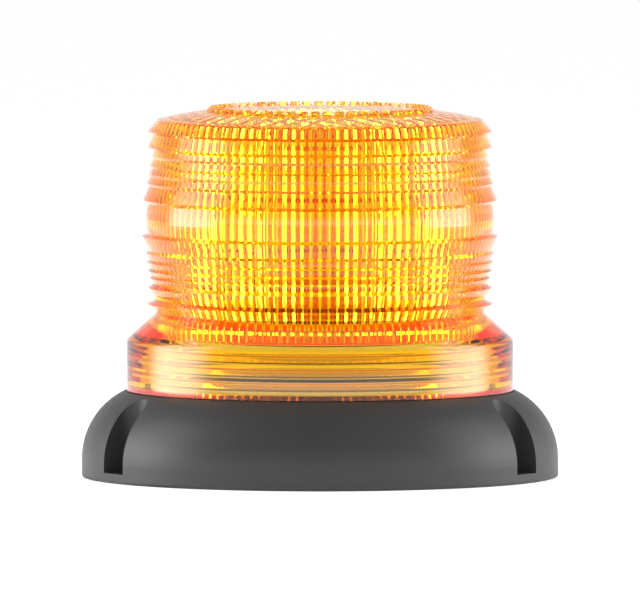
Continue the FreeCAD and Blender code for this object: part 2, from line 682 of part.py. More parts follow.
def make_tower():
    """The tower of LED boards that stands behind the lens's bull's eye."""
    tower = body("led_tower")
    outside = sketch(tower, "XY_Plane", LED_BOARD_TOP)
    polygon(outside, "tower_flats")
    extrude(tower, outside, "Pad", f"{TOWER_TOP} - {LED_BOARD_TOP}")
    post(tower, LED_BOARD_TOP, "0", "0", f"2 * {TOWER_FOOT}", "tower_wall")
    inside = sketch(tower, "XY_Plane", LED_BOARD_TOP)
    polygon(inside, "(tower_flats - 2 * tower_wall)")
    extrude(tower, inside, "Pocket", f"{TOWER_TOP} - {LED_BOARD_TOP}", reverse=True)
    screw_hole = hole(tower, f"{LED_BOARD_TOP} + tower_wall", TOWER_SCREW_PLACE, "0",
                      "small_screw + screw_play", "tower_wall")
    repeat(tower, [screw_hole], "screw_count")
    screws("tower_screws", f"{LED_BOARD_TOP} + tower_wall", TOWER_SCREW_PLACE, "0", "small_screw",
           "small_head", "small_head_height", "tower_screw_reach", head_down=False)

    boards = body("tower_boards")
    drawing = sketch(boards, "YZ_Plane", TOWER_FACE)
    half_width = f"({TOWER_FACE} * tan(180deg / tower_sides) - tower_board_inset)"
    rectangle(drawing, f"-{half_width}", half_width, f"{TOWER_TOP} - {TOWER_BOARD_HEIGHT}", TOWER_TOP)
    board = extrude(boards, drawing, "Pad", "tower_board_thickness")
    repeat(boards, [board], "tower_sides")
    leds = body("tower_leds")
    drawing = sketch(leds, "YZ_Plane", f"{TOWER_FACE} + tower_board_thickness")
    for step in (-1, 0, 1):
        middle = f"{BULLSEYE_MIDDLE} + {step} * led_pitch"
        rectangle(drawing, "-led_size / 2", "led_size / 2", f"{middle} - led_size / 2",
                  f"{middle} + led_size / 2")
    emitters = extrude(leds, drawing, "Pad", "led_height")
    repeat(leds, [emitters], "tower_sides")

    disc("top_board", TOP_BOARD_RADIUS, TOWER_TOP, TOP_BOARD_TOP)
    top_leds = body("top_leds")
    drawing = sketch(top_leds, "XY_Plane", TOP_BOARD_TOP)
    middle = f"{TOP_BOARD_RADIUS} - top_led_inset"
    rectangle(drawing, "-led_size / 2", "led_size / 2", f"{middle} - led_size / 2",
              f"{middle} + led_size / 2")
    emitter = extrude(top_leds, drawing, "Pad", "led_height")
    repeat(top_leds, [emitter], "top_led_count")

    wires = body("led_wires")
    for side in (-1, 1):
        drawing = sketch(wires, "XY_Plane", BOARD_TOP)
        circle(drawing, f"{side} * wire_spacing / 2", "0", "wire_diameter")
        extrude(wires, drawing, "Pad", f"{TOWER_TOP} - {BOARD_TOP}")


def make_lens_seal():
    """The rubber ring held in the collar's lower face."""
    ring("lens_seal", f"{SEAL_MIDDLE} - seal_width / 2", f"{SEAL_MIDDLE} + seal_width / 2", DECK,
         f"{DECK} + seal_height")


def collar_ribs():
    """The corners of the coarse thread inside the collar, from the top rib down."""
    crest_radius = f"{COLLAR_BORE} - thread_depth"
    corners = []
    for index in range(int(value("thread_turns"))):
        middle = f"{CONE_INSIDE} - thread_run_out - {index} * thread_pitch"
        corners += [
            (COLLAR_BORE, f"{middle} + thread_root / 2"),
            (crest_radius, f"{middle} + thread_crest / 2"),
            (crest_radius, f"{middle} - thread_crest / 2"),
            (COLLAR_BORE, f"{middle} - thread_root / 2"),
        ]
    return corners


def prism_rings(rings, level):
    """The corners of a stack of prism rings that starts at a level, and the level where it ends."""
    corners = []
    for ring_name, *_ in rings:
        level = f"{level} + {ring_name}_tip_rise"
        corners.append((f"{LENS_BORE} + {ring_name}_tip_wall", level))
        level = f"{level} + {ring_name}_end_rise"
        corners.append((f"{LENS_BORE} + {ring_name}_end_wall", level))
    return corners, level


def dome_level(radius):
    """How high the dome's outer face is at a radius."""
    return f"({RIM} + dome_rise - {DOME_ARC} + sqrt({DOME_ARC}^2 - ({radius})^2))"


def lens_corners():
    """The lens's section: collar, cone, prism rings, bull's eye, dome, and the bore, whose wall
    runs on below the cone as a short tube, down to just above the carrier."""
    seal_in = f"{SEAL_MIDDLE} - seal_width / 2 - seal_clearance"
    seal_out = f"{SEAL_MIDDLE} + seal_width / 2 + seal_clearance"
    below, level = prism_rings(RINGS_BELOW, NECK)
    bullseye_high = f"{level} + bullseye_height"
    above, _ = prism_rings(RINGS_ABOVE, bullseye_high)
    crown_out = f"{CROWN_RADIUS} + crown_width / 2"
    crown_in = f"{CROWN_RADIUS} - crown_width / 2"
    return [
        (COLLAR_BORE, COLLAR_LOW),
        (seal_in, COLLAR_LOW),
        (seal_in, f"{DECK} + seal_height"),
        (seal_out, f"{DECK} + seal_height"),
        (seal_out, COLLAR_LOW),
        (COLLAR_RADIUS, COLLAR_LOW),
        (COLLAR_RADIUS, COLLAR_HIGH),
        (NECK_RADIUS, NECK),
        *below,
        (below[-1][0], bullseye_high, BULLSEYE_ARC, 1),
        *above,
        (crown_out, dome_level(crown_out), DOME_ARC, 1),
        (crown_out, f"{dome_level(crown_out)} + crown_rise"),
        (crown_in, f"{dome_level(crown_out)} + crown_rise"),
        (crown_in, dome_level(crown_in)),
        ("0", f"{RIM} + dome_rise", DOME_ARC, 1),
        ("0", f"{RIM} + dome_rise - roof_thickness"),
        (PLAIN_BORE, f"{RIM} - roof_thickness", INNER_DOME_ARC, -1),
        (PLAIN_BORE, TUBE_LOW),
        (NECK_RADIUS, TUBE_LOW),
        (NECK_RADIUS, f"{CONE_INSIDE} + ({COLLAR_BORE} - {NECK_RADIUS}) * {CONE_SLOPE}"),
        (COLLAR_BORE, CONE_INSIDE),
        *collar_ribs(),
    ]


def flutes():
    """The prism that leaves a ring of V flutes in the lens's bore when it is cut away."""
    count = int(value("flute_count"))
    radii = (value(f"{LENS_BORE} - flute_depth"), value(LENS_BORE))
    low = value(COLLAR_LOW)
    points = []
    for index in range(2 * count + 1):
        angle = math.pi * index / count
        radius = radii[index % 2]
        points.append(FreeCAD.Vector(radius * math.cos(angle), radius * math.sin(angle), low))
    height = value(f"{RIM} - roof_thickness") - low
    return Part.Face(Part.makePolygon(points)).extrude(FreeCAD.Vector(0, 0, height))


def crown_notches():
    """The gaps that part the ring on the dome into blocks."""
    crown_out = f"{CROWN_RADIUS} + crown_width / 2"
    inner, width, low = (value(formula) for formula in
                         (f"{CROWN_RADIUS} - crown_width", "crown_notch", dome_level(crown_out)))
    block = Part.makeBox(value("2 * crown_width"), width, value("2 * crown_rise"),
                         FreeCAD.Vector(inner, -width / 2, low))
    count = int(value("crown_blocks"))
    notches = []
    for index in range(count):
        notch = block.copy()
        notch.rotate(FreeCAD.Vector(0, 0, 0), FreeCAD.Vector(0, 0, 1), 360 * index / count)
        notches.append(notch)
    return notches


def make_lens():
    """The amber lens: the turned blank, with the flutes cut in its bore and the crown parted."""
    blank = body("lens_blank")
    section = sketch(blank, "XZ_Plane")
    outline(section, lens_corners())
    turn(blank, section)
    cutters = doc.addObject("Part::Feature", "lens_cutters")
    cutters.Shape = Part.makeCompound([flutes()] + crown_notches())
    lens = doc.addObject("Part::Cut", "amber_lens")
    lens.Base = blank
    lens.Tool = cutters
    lens.Label = "amber_lens"


def write_parts(helpers):
    """Checks every object of the document and writes one file for each sub-part."""
    doc.recompute()
    for item in doc.Objects:
        if "Invalid" in item.State or "Error" in item.State:
            raise RuntimeError(f"{item.Label} did not compute: {item.State}")
    for item in doc.Objects:
        owned = item.getParentGeoFeatureGroup() is not None
        if owned or item.Label in helpers or not hasattr(item, "Shape"):
            continue
        if item.TypeId.startswith("App::"):
            continue
        if item.Shape.isNull() or not item.Shape.isValid():
            raise RuntimeError(f"{item.Label} has no valid shape")
        item.Shape.exportStep(f"parts/{item.Label}.step")
        box = item.Shape.BoundBox
        print(f"{item.Label}: {len(item.Shape.Solids)} solids, {item.Shape.Volume:.1f} mm3, "
              f"z {box.ZMin:.2f} to {box.ZMax:.2f}")


make_base_housing()
make_cover()
make_driver_board()
make_buzzer()
make_carrier()
make_tower()
make_lens_seal()
make_lens()
write_parts(helpers=("lens_blank", "lens_cutters"))
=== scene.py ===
import bpy
import bmesh
import math
from mathutils import Matrix, Vector


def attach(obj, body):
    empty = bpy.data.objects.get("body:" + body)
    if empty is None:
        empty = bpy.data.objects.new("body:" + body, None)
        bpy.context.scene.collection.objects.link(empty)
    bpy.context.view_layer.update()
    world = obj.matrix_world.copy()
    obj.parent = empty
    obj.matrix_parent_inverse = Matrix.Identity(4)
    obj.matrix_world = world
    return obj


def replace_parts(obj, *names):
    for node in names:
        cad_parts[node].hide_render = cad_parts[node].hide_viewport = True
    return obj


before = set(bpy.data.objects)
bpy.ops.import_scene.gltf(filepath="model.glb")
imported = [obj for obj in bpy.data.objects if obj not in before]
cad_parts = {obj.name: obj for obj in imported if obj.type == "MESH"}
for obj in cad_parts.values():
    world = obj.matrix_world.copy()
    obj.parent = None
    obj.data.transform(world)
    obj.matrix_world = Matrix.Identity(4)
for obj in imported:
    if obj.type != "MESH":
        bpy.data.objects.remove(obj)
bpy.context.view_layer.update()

mm = 0.001
sameWithin = 0.01        # radii or heights this close, in millimetres, are the same
weldWithin = 1e-6        # points this close, in metres, become one
white = (1, 1, 1, 1)
scene = bpy.context.scene


# The camera: a long lens, a little above the light, as in the photograph.
photoView = {
    "imageWidth": 640,
    "imageHeight": 589,
    "pixelsPerMetre": 3724.0,      # at the light's axis
    "undersideRow": 476.4,         # the image row of the centre of the underside
    "elevation": math.radians(3.2),
    "distance": 6.0,
    "sensor": 36.0,
    "clipNear": 0.5,
    "clipFar": 60.0,
}


def makeCamera():
    v = photoView
    frameWidth = v["imageWidth"] / v["pixelsPerMetre"]
    rowsAbove = v["undersideRow"] - v["imageHeight"] / 2
    aimHeight = rowsAbove / (v["pixelsPerMetre"] * math.cos(v["elevation"]))
    data = bpy.data.cameras.new("photoCamera")
    data.sensor_fit = "HORIZONTAL"
    data.sensor_width = v["sensor"]
    data.lens = v["sensor"] * v["distance"] / frameWidth
    data.clip_start = v["clipNear"]
    data.clip_end = v["clipFar"]
    camera = bpy.data.objects.new("photoCamera", data)
    scene.collection.objects.link(camera)
    camera.location = (0, -v["distance"] * math.cos(v["elevation"]),
                       aimHeight + v["distance"] * math.sin(v["elevation"]))
    camera.rotation_euler = (math.pi / 2 - v["elevation"], 0, 0)
    scene.camera = camera


# Light crosses the clear lens many times before it leaves, so the paths are let run long.
lightPaths = {"max_bounces": 28, "transmission_bounces": 20, "glossy_bounces": 16}


def lengthenPaths():
    for limit, count in lightPaths.items():
        setattr(scene.cycles, limit, count)


# Short helpers for node trees.

def newMaterial(name):
    material = bpy.data.materials.new(name)
    material.use_nodes = True
    material.node_tree.nodes.clear()
    return material


def addNode(tree, kind, at=(0, 0), settings=None, **sockets):
    node = tree.nodes.new(kind)
    node.location = at
    for key, value in (settings or {}).items():
        setattr(node, key, value)
    for key, value in sockets.items():
        node.inputs[key.replace("_", " ")].default_value = value
    return node


def join(tree, source, output, target, entry):
    tree.links.new(source.outputs[output], target.inputs[entry])


def addMath(tree, at, operation, *entries):      # an entry is a number, or a node and its output
    node = addNode(tree, "ShaderNodeMath", at, {"operation": operation})
    for number, entry in enumerate(entries):
        if isinstance(entry, tuple):
            join(tree, *entry, node, number)
        else:
            node.inputs[number].default_value = entry
    return node


def addRamp(tree, at, span, before=0.0, after=1.0):      # a smooth change over a span of its input
    return addNode(tree, "ShaderNodeMapRange", at, {"interpolation_type": "SMOOTHSTEP"},
                   From_Min=span[0], From_Max=span[1], To_Min=before, To_Max=after)


def addMix(tree, at, **colors):
    return addNode(tree, "ShaderNodeMix", at, {"data_type": "RGBA"}, **colors)


def addBump(tree, surface, source, output, strength, distance, invert=False):
    bump = addNode(tree, "ShaderNodeBump", (0, -250), {"invert": invert}, Strength=strength,
                   Distance=distance)
    join(tree, source, output, bump, "Height")
    join(tree, bump, "Normal", surface, "Normal")


# The studio: a white wall behind, a dimmer room with a bright low band on the camera's side, and a
# tall softbox to each side. Spans along Y and Z are of a direction of length one into the room.
studio = {
    "backWall": 1.0,
    "cameraSide": 0.6,
    "frontBand": 3.0,                       # behind the camera, at the light's own height
    "ceiling": 0.5,
    "wallSpan": (-0.8, 0.1),                # along Y, from the camera's side to the back wall
    "bandSpan": (0.08, 0.3),                # along Z, from the band to the dimmer room above it
    "ceilingSpan": (0.0, 0.35),             # along Z
    "throughLens": 1.05,                    # the room as the plastic shows it
    "throughFront": (1.0, 0.76, 0.48),      # the colour that the plastic shows on the camera's side
    "throughCeiling": 0.6,
    "throughWallSpan": (-0.6, 0.4),
    "throughCeilingSpan": (0.2, 0.9),
    "floorReach": 8.0,
    "floorColor": 0.93,
    "floorGlow": 0.54,
    "softboxDistance": 0.62,
    "softboxAzimuth": math.radians(93),     # from the camera's direction
    "softboxSpread": math.radians(60),
    "softboxHeight": 0.7,
    "softboxEdge": 0.4,                     # share of its width over which it fades to each side
    "softboxTop": 0.45,                     # strength of its upper part
    "softboxTopSpan": (0.15, 0.6),          # share of its height over which it dims to that
    "leftPower": 11.0,
    "rightPower": 9.2,
}


def makeWorld():
    s = studio
    world = bpy.data.worlds.new("studio")
    world.use_nodes = True
    scene.world = world
    tree = world.node_tree
    tree.nodes.clear()
    background = addNode(tree, "ShaderNodeBackground", (600, 0))
    output = addNode(tree, "ShaderNodeOutputWorld", (800, 0))
    direction = addNode(tree, "ShaderNodeTexCoord", (-600, 0))
    axes = addNode(tree, "ShaderNodeSeparateXYZ", (-400, 0))
    rays = addNode(tree, "ShaderNodeLightPath", (50, 900))
    join(tree, direction, "Generated", axes, "Vector")
    join(tree, background, "Background", output, "Surface")

    # The room that lights the parts.
    overhead = addRamp(tree, (-200, -250), s["ceilingSpan"], 1.0, s["ceiling"])
    front = addRamp(tree, (-400, 250), s["bandSpan"], s["frontBand"], s["cameraSide"])
    walls = addRamp(tree, (-200, 250), s["wallSpan"], after=s["backWall"])
    join(tree, axes, "Z", overhead, "Value")
    join(tree, axes, "Z", front, "Value")
    join(tree, axes, "Y", walls, "Value")
    join(tree, front, "Result", walls, "To Min")
    direct = addMath(tree, (50, 150), "MULTIPLY", (walls, "Result"), (overhead, "Result"))

    # The room as the plastic shows it.
    throughCeiling = addRamp(tree, (-200, 750), s["throughCeilingSpan"], s["throughLens"],
                             s["throughCeiling"])
    throughWalls = addRamp(tree, (-200, 500), s["throughWallSpan"])
    wallColor = addMix(tree, (50, 500), A=(*s["throughFront"], 1), B=white)
    tone = addMix(tree, (250, 500), A=white)
    join(tree, axes, "Z", throughCeiling, "Value")
    join(tree, axes, "Y", throughWalls, "Value")
    join(tree, throughWalls, "Result", wallColor, "Factor")
    join(tree, wallColor, "Result", tone, "B")
    join(tree, rays, "Is Transmission Ray", tone, "Factor")
    join(tree, tone, "Result", background, "Color")

    room = addNode(tree, "ShaderNodeMix", (250, 0))
    join(tree, rays, "Is Transmission Ray", room, "Factor")
    join(tree, direct, "Value", room, "A")
    join(tree, throughCeiling, "Result", room, "B")
    seen = addNode(tree, "ShaderNodeMix", (420, 0), B=1.0)      # the camera sees plain white
    join(tree, rays, "Is Camera Ray", seen, "Factor")
    join(tree, room, "Result", seen, "A")
    join(tree, seen, "Result", background, "Strength")


def makeSoftbox(side, power):
    s = studio
    data = bpy.data.lights.new("softbox", "AREA")
    data.shape = "RECTANGLE"
    data.size = 2 * s["softboxDistance"] * math.tan(s["softboxSpread"] / 2)
    data.size_y = s["softboxHeight"]
    data.energy = power
    data.use_nodes = True
    tree = data.node_tree
    tree.nodes.clear()
    place = addNode(tree, "ShaderNodeNewGeometry", (-600, 0))
    axes = addNode(tree, "ShaderNodeSeparateXYZ", (-400, 0))
    join(tree, place, "Parametric", axes, "Vector")
    inset = addMath(tree, (-200, 0), "PINGPONG", (axes, "X"), 0.5)      # from either side to the middle
    fade = addRamp(tree, (0, 0), (0.0, s["softboxEdge"]))
    upper = addRamp(tree, (0, -300), s["softboxTopSpan"], 1.0, s["softboxTop"])
    join(tree, inset, "Value", fade, "Value")
    join(tree, axes, "Y", upper, "Value")
    both = addMath(tree, (200, -100), "MULTIPLY", (fade, "Result"), (upper, "Result"))
    glow = addNode(tree, "ShaderNodeEmission", (400, 0))
    output = addNode(tree, "ShaderNodeOutputLight", (600, 0))
    join(tree, both, "Value", glow, "Strength")
    join(tree, glow, "Emission", output, "Surface")
    softbox = bpy.data.objects.new("softbox", data)
    scene.collection.objects.link(softbox)
    away = Vector((side * math.sin(s["softboxAzimuth"]), -math.cos(s["softboxAzimuth"]), 0))
    softbox.location = away * s["softboxDistance"] + Vector((0, 0, s["softboxHeight"] / 2))
    softbox.rotation_euler = (-away).to_track_quat("-Z", "Y").to_euler()


def makeFloor():
    s = studio
    bm = bmesh.new()
    bmesh.ops.create_grid(bm, x_segments=1, y_segments=1, size=s["floorReach"])
    mesh = bpy.data.meshes.new("floor")
    bm.to_mesh(mesh)
    bm.free()
    floor = bpy.data.objects.new("floor", mesh)
    scene.collection.objects.link(floor)
    material = newMaterial("floorPaper")
    tree = material.node_tree
    paper = addNode(tree, "ShaderNodeBsdfDiffuse", Color=(*[s["floorColor"]] * 3, 1))
    glow = addNode(tree, "ShaderNodeEmission", (0, -200), Color=white, Strength=s["floorGlow"])
    both = addNode(tree, "ShaderNodeAddShader", (200, 0))
    output = addNode(tree, "ShaderNodeOutputMaterial", (400, 0))
    join(tree, paper, "BSDF", both, 0)
    join(tree, glow, "Emission", both, 1)
    join(tree, both, "Shader", output, "Surface")
    mesh.materials.append(material)


# The amber plastic: clear, with all its colour taken from the light that crosses it. Blue goes
# within a few millimetres, green within a few centimetres and red hardly at all, so thin walls are
# yellow and long paths are orange.
amberPlastic = {
    "tint": (1.0, 0.99, 0.97),
    "roughness": 0.0,
    "ior": 1.52,
    "density": 560.0,
    "letThrough": (0.985, 0.885, 0.0),
    "rippleScale": 90.0,            # the slight ripple of a moulded face
    "rippleStrength": 0.01,
    "rippleDepth": 0.0003,
}


def makeAmberPlastic():
    s = amberPlastic
    material = newMaterial("amberPlastic")
    tree = material.node_tree
    surface = addNode(tree, "ShaderNodeBsdfPrincipled", (200, 0), Base_Color=(*s["tint"], 1),
                      IOR=s["ior"], Transmission_Weight=1.0, Roughness=s["roughness"])
    inside = addNode(tree, "ShaderNodeVolumeAbsorption", (200, -400), Color=(*s["letThrough"], 1),
                     Density=s["density"])
    output = addNode(tree, "ShaderNodeOutputMaterial", (500, 0))
    place = addNode(tree, "ShaderNodeTexCoord", (-600, -200))
    ripple = addNode(tree, "ShaderNodeTexNoise", (-400, -200), Scale=s["rippleScale"], Detail=1.0)
    join(tree, place, "Object", ripple, "Vector")
    addBump(tree, surface, ripple, "Fac", s["rippleStrength"], s["rippleDepth"])
    join(tree, surface, "BSDF", output, "Surface")
    join(tree, inside, "Volume", output, "Volume")
    return material


# The lens's section, outside and in. Radii, heights and depths are in millimetres.
lensForm = {
    "underside": 23.4,
    "collarRadius": 51.9,
    "collarTop": 37.0,
    "collarRound": 0.9,
    "collarBore": 47.4,
    "neckRadius": 43.9,
    "neck": 44.2,
    "rim": 96.0,
    "domeRise": 3.05,
    "domePower": 4,            # flat in the middle, steeper towards the rim
    "shoulder": 42.0,          # the dome's outermost ring, and the rings that follow it inwards
    "shoulderPitch": 1.5,
    "shoulderRings": 7,
    "bore": 41.0,
    "fluteDepth": 1.0,
    "flutes": 114,
    "stepsPerFlute": 5,
    "roof": 1.9,
    "crownFoot": 30.8,
    "crownOuter": 30.2,
    "crownWidth": 1.1,
    "crownRise": 1.152,
    "crownOuterFlank": 0.4,    # how far each flank leans in on its way up
    "crownInnerFlank": 0.1,
    "crownBlocks": 57,
    "crownGap": 0.27,          # share of a block's pitch
    "crownTurn": 0.02,         # the same, by which the blocks are turned
    "coneWall": 4.0,
    "tubeLow": 38.0,           # the bore's wall runs on below the cone, to just above the carrier
    "ribs": 3,
    "ribPitch": 3.5,
    "ribLow": 27.4,
    "ribDepth": 1.4,
    "ribRoot": 2.8,
    "ribCrest": 0.5,
    "sealMiddle": 49.65,
    "sealGroove": 2.4,
    "sealTop": 24.6,
    "sealDraft": 0.1,
    "sealFlare": 0.85,         # the groove's outer wall leans out, which throws its light upwards
    "prismPitch": 4.4,         # the small prisms under the dome
    "prismDepth": 1.9,
    "prismTurn": math.radians(38),
    "prismReach": 39.8,
    "prismRings": 50,
    "dimpleDepth": 0.25,       # shallow dimples on the dome, over the prisms
    "dimpleRings": 28,
    "plainEdge": 0.1,          # prisms and dimples stop this far inside their reach
    "sharp": math.radians(34),
}

# Prism rings below and above the bull's eye, each with the rise to its tip, the tip's radius, the
# rise on to its root and the root's radius.
ringsBelow = [
    (2.4, 46.5, 1.1, 44.2), (3.2, 46.2, 1.0, 44.8), (1.6, 45.7, 0.4, 45.1), (1.6, 46.2, 0.5, 45.5),
    (1.8, 46.5, 0.4, 45.8), (2.0, 46.7, 0.7, 46.0), (3.8, 47.8, 0.8, 46.2),
]
ringsAbove = [
    (1.0, 47.5, 3.7, 45.9), (0.8, 46.5, 1.6, 45.7), (0.9, 45.9, 1.5, 45.1), (0.6, 45.7, 2.0, 44.7),
    (0.8, 45.1, 1.4, 44.6), (0.9, 46.2, 3.4, 44.7), (0.8, 46.2, 3.1, 43.6),
]
bullseye = {"height": 8.0, "bulge": 0.5, "steps": 6}


def domeHeight(radius, low, edge):
    return low + lensForm["domeRise"] * (1 - (radius / edge) ** lensForm["domePower"])


def coneSlope():
    f = lensForm
    return (f["neck"] - f["collarTop"]) / (f["collarRadius"] - f["neckRadius"])


def ringSection(rings, height):
    points = []
    for tipRise, tip, rootRise, root in rings:
        points += [(tip, height + tipRise), (root, height + tipRise + rootRise)]
        height += tipRise + rootRise
    return points, height


def bullseyeSection(edge, height):
    points = []
    for step in range(1, bullseye["steps"] + 1):
        t = step / bullseye["steps"]
        points.append((edge + bullseye["bulge"] * 4 * t * (1 - t), height + bullseye["height"] * t))
    return points, height + bullseye["height"]


def crownSection(edge):
    f = lensForm
    crownInner = f["crownOuter"] - f["crownWidth"]
    top = domeHeight(f["crownOuter"], f["rim"], edge) + f["crownRise"]
    outer = [f["shoulder"] - f["shoulderPitch"] * step for step in range(f["shoulderRings"])]
    inner = [crownInner * (1 - step / f["dimpleRings"]) for step in range(f["dimpleRings"] + 1)]
    points = [(radius, domeHeight(radius, f["rim"], edge)) for radius in outer + [f["crownFoot"]]]
    points += [(f["crownOuter"] - f["crownOuterFlank"], top), (crownInner + f["crownInnerFlank"], top)]
    return points + [(radius, domeHeight(radius, f["rim"], edge)) for radius in inner]


def outerSection():
    f = lensForm
    soft = f["collarRound"] / 2
    collar = [(f["collarRadius"], f["underside"]), (f["collarRadius"], f["collarTop"] - soft),
              (f["collarRadius"] - soft, f["collarTop"] + soft * coneSlope()),
              (f["neckRadius"], f["neck"])]
    below, height = ringSection(ringsBelow, f["neck"])
    middle, height = bullseyeSection(below[-1][0], height)
    above, height = ringSection(ringsAbove, height)
    return collar + below + middle + above + crownSection(above[-1][0])


def innerSection():
    f = lensForm
    ridge = f["bore"] - f["fluteDepth"]
    coneLow = f["collarTop"] + (f["collarRadius"] - f["collarBore"]) * coneSlope() - f["coneWall"]
    ceiling = f["rim"] - f["roof"]
    radii = [f["prismReach"] * step / f["prismRings"] for step in range(f["prismRings"] + 1)]
    points = [(radius, domeHeight(radius, ceiling, ridge)) for radius in radii]
    points += [(ridge, ceiling), (ridge, f["tubeLow"]), (f["neckRadius"], f["tubeLow"]),
               (f["neckRadius"], coneLow + (f["collarBore"] - f["neckRadius"]) * coneSlope()),
               (f["collarBore"], coneLow)]
    crest = f["collarBore"] - f["ribDepth"]
    for rib in reversed(range(f["ribs"])):
        middle = f["ribLow"] + rib * f["ribPitch"]
        points += [(f["collarBore"], middle + f["ribRoot"] / 2), (crest, middle + f["ribCrest"] / 2),
                   (crest, middle - f["ribCrest"] / 2), (f["collarBore"], middle - f["ribRoot"] / 2)]
    grooveInner = f["sealMiddle"] - f["sealGroove"] / 2
    grooveOuter = f["sealMiddle"] + f["sealGroove"] / 2
    points += [(f["collarBore"], f["underside"]), (grooveInner, f["underside"]),
               (grooveInner, f["sealTop"]), (grooveOuter - f["sealDraft"], f["sealTop"]),
               (grooveOuter + f["sealFlare"], f["underside"])]
    return points


def turnSection(points, steps):
    bm = bmesh.new()
    ring = [bm.verts.new((radius * mm, 0, height * mm)) for radius, height in points]
    edges = [bm.edges.new(pair) for pair in zip(ring, ring[1:] + ring[:1])
             if pair[0].co.x > 0 or pair[1].co.x > 0]       # none along the axis
    bmesh.ops.spin(bm, geom=ring + edges, cent=(0, 0, 0), axis=(0, 0, 1), dvec=(0, 0, 0),
                   angle=2 * math.pi, steps=steps, use_merge=True, use_duplicate=False)
    bmesh.ops.remove_doubles(bm, verts=bm.verts, dist=weldWithin)
    return bm


def cutFlutes(bm):
    f = lensForm
    ridge = (f["bore"] - f["fluteDepth"]) * mm
    for vert in bm.verts:
        radius = math.hypot(vert.co.x, vert.co.y)
        if abs(radius - ridge) < sameWithin * mm:      # round ribs with a sharp groove between them
            turn = math.atan2(vert.co.y, vert.co.x) * f["flutes"] / (2 * math.pi)
            across = turn % 1 * 2 - 1
            radius += f["fluteDepth"] * mm * across ** 2
            angle = turn * 2 * math.pi / f["flutes"]
            vert.co.xy = (radius * math.cos(angle), radius * math.sin(angle))


def partCrown(bm):
    f = lensForm
    edge = ringsAbove[-1][3]
    for vert in bm.verts:
        radius = math.hypot(vert.co.x, vert.co.y) / mm
        deck = domeHeight(radius, f["rim"], edge)
        if vert.co.z / mm > deck + f["crownRise"] / 2 and radius < f["crownOuter"]:
            turn = math.atan2(vert.co.y, vert.co.x) / (2 * math.pi)
            if (turn * f["crownBlocks"] + f["crownTurn"]) % 1 > 1 - f["crownGap"]:
                vert.co.z = deck * mm


def foldDome(bm):
    f = lensForm
    edge = ringsAbove[-1][3]
    faces = [      # reach, height and radius of the dome's rim, depth
        (f["prismReach"], f["rim"] - f["roof"], f["bore"] - f["fluteDepth"], f["prismDepth"]),
        (edge, f["rim"], edge, f["dimpleDepth"]),
    ]
    for vert in bm.verts:
        radius = math.hypot(vert.co.x, vert.co.y) / mm
        for reach, low, rim, depth in faces:
            offset = abs(vert.co.z / mm - domeHeight(radius, low, rim))
            if radius < reach - f["plainEdge"] and offset < sameWithin:
                turned = Matrix.Rotation(f["prismTurn"], 2) @ vert.co.xy / (f["prismPitch"] * mm)
                slopes = [abs((share % 1) * 2 - 1) for share in turned]
                vert.co.z -= depth * mm * (1 - max(slopes))
                break


def linkPiece(bm, name, body, material, sharp):
    bmesh.ops.recalc_face_normals(bm, faces=bm.faces)
    for face in bm.faces:
        face.smooth = True
    for edge in bm.edges:
        if len(edge.link_faces) == 2 and edge.calc_face_angle(0) > sharp:
            edge.smooth = False
    mesh = bpy.data.meshes.new(name)
    bm.to_mesh(mesh)
    bm.free()
    piece = bpy.data.objects.new(name, mesh)
    scene.collection.objects.link(piece)
    mesh.materials.append(material)
    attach(piece, body)
    return piece


def buildLens(plastic):
    f = lensForm
    bm = turnSection(outerSection() + innerSection(), f["flutes"] * f["stepsPerFlute"])
    cutFlutes(bm)
    partCrown(bm)
    foldDome(bm)
    return linkPiece(bm, "amberLens", "lens", plastic, f["sharp"])


# A part's finish starts from its shader and its own coordinates, which are in metres.

def startFinish(name, **sockets):
    material = newMaterial(name)
    tree = material.node_tree
    surface = addNode(tree, "ShaderNodeBsdfPrincipled", (300, 0), **sockets)
    output = addNode(tree, "ShaderNodeOutputMaterial", (600, 0))
    place = addNode(tree, "ShaderNodeTexCoord", (-800, 0))
    join(tree, surface, "BSDF", output, "Surface")
    return material, tree, surface, place


def shade(color, factor):
    return (*[min(1, part * factor) for part in color], 1)


# Moulded plastic: a cloudy noise for its tone and gloss, and a fine one for its grain.
mouldedLook = {
    "cloud": 45.0,
    "cloudDetail": 3.0,
    "grainDetail": 2.0,
    "glossSpread": 0.12,
    "relief": 0.0001,
}


def mouldedFinish(name, color, roughness, grain=1400.0, depth=0.12, mottle=0.12, **extra):
    s = mouldedLook
    material, tree, surface, place = startFinish(name, **extra)
    cloud = addNode(tree, "ShaderNodeTexNoise", (-600, 200), Scale=s["cloud"], Detail=s["cloudDetail"])
    fine = addNode(tree, "ShaderNodeTexNoise", (-600, -200), Scale=grain, Detail=s["grainDetail"])
    tone = addMix(tree, (-200, 200), A=shade(color, 1 - mottle), B=shade(color, 1 + mottle))
    gloss = addNode(tree, "ShaderNodeMapRange", (-200, -50), To_Min=roughness * (1 - s["glossSpread"]),
                    To_Max=roughness * (1 + s["glossSpread"]))
    join(tree, place, "Object", cloud, "Vector")
    join(tree, place, "Object", fine, "Vector")
    join(tree, cloud, "Fac", tone, "Factor")
    join(tree, cloud, "Fac", gloss, "Value")
    join(tree, tone, "Result", surface, "Base Color")
    join(tree, gloss, "Result", surface, "Roughness")
    addBump(tree, surface, fine, "Fac", depth, s["relief"])
    return material


def turnedMetal(name, color, roughness):
    return mouldedFinish(name, color, roughness, grain=3200.0, depth=0.2, mottle=0.08, Metallic=1.0)


# Solder mask over copper tracks.
boardLook = {
    "roughness": 0.3,
    "coat": 0.4,
    "trackWidth": 0.012,
    "tint": 1.08,
    "strength": 0.3,
    "relief": 0.0001,
}


